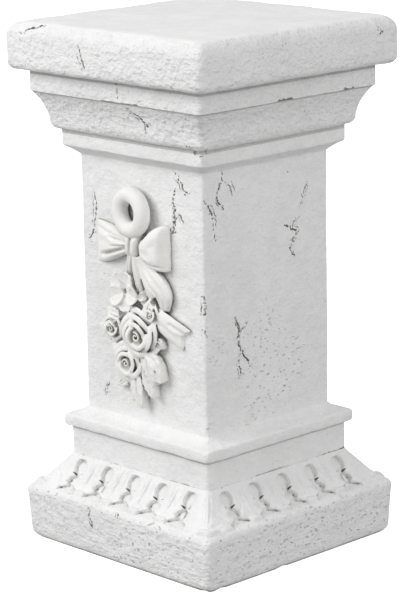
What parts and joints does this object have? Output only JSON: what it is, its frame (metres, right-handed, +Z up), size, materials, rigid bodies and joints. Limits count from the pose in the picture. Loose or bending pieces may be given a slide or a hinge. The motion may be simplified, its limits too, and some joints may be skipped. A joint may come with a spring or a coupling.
{
  "type": "garden pedestal",
  "caption": "Square cast pedestal with an overhanging cap, a moulded neck, a leaf band on its base, and a bow with roses in relief on its front face.",
  "frame": {"origin": "centre of the underside, on the floor", "axes": "+Z up through the cap, the face with the bow and roses looks along -Y"},
  "size_m": [0.299, 0.299, 0.575],
  "materials": {
    "cast_stone": "matt, chalky white cast stone, with fine pits and hairline cracks"
  },
  "bodies": {
    "root": {"pedestal": "cast_stone"}
  },
  "joints": []
}
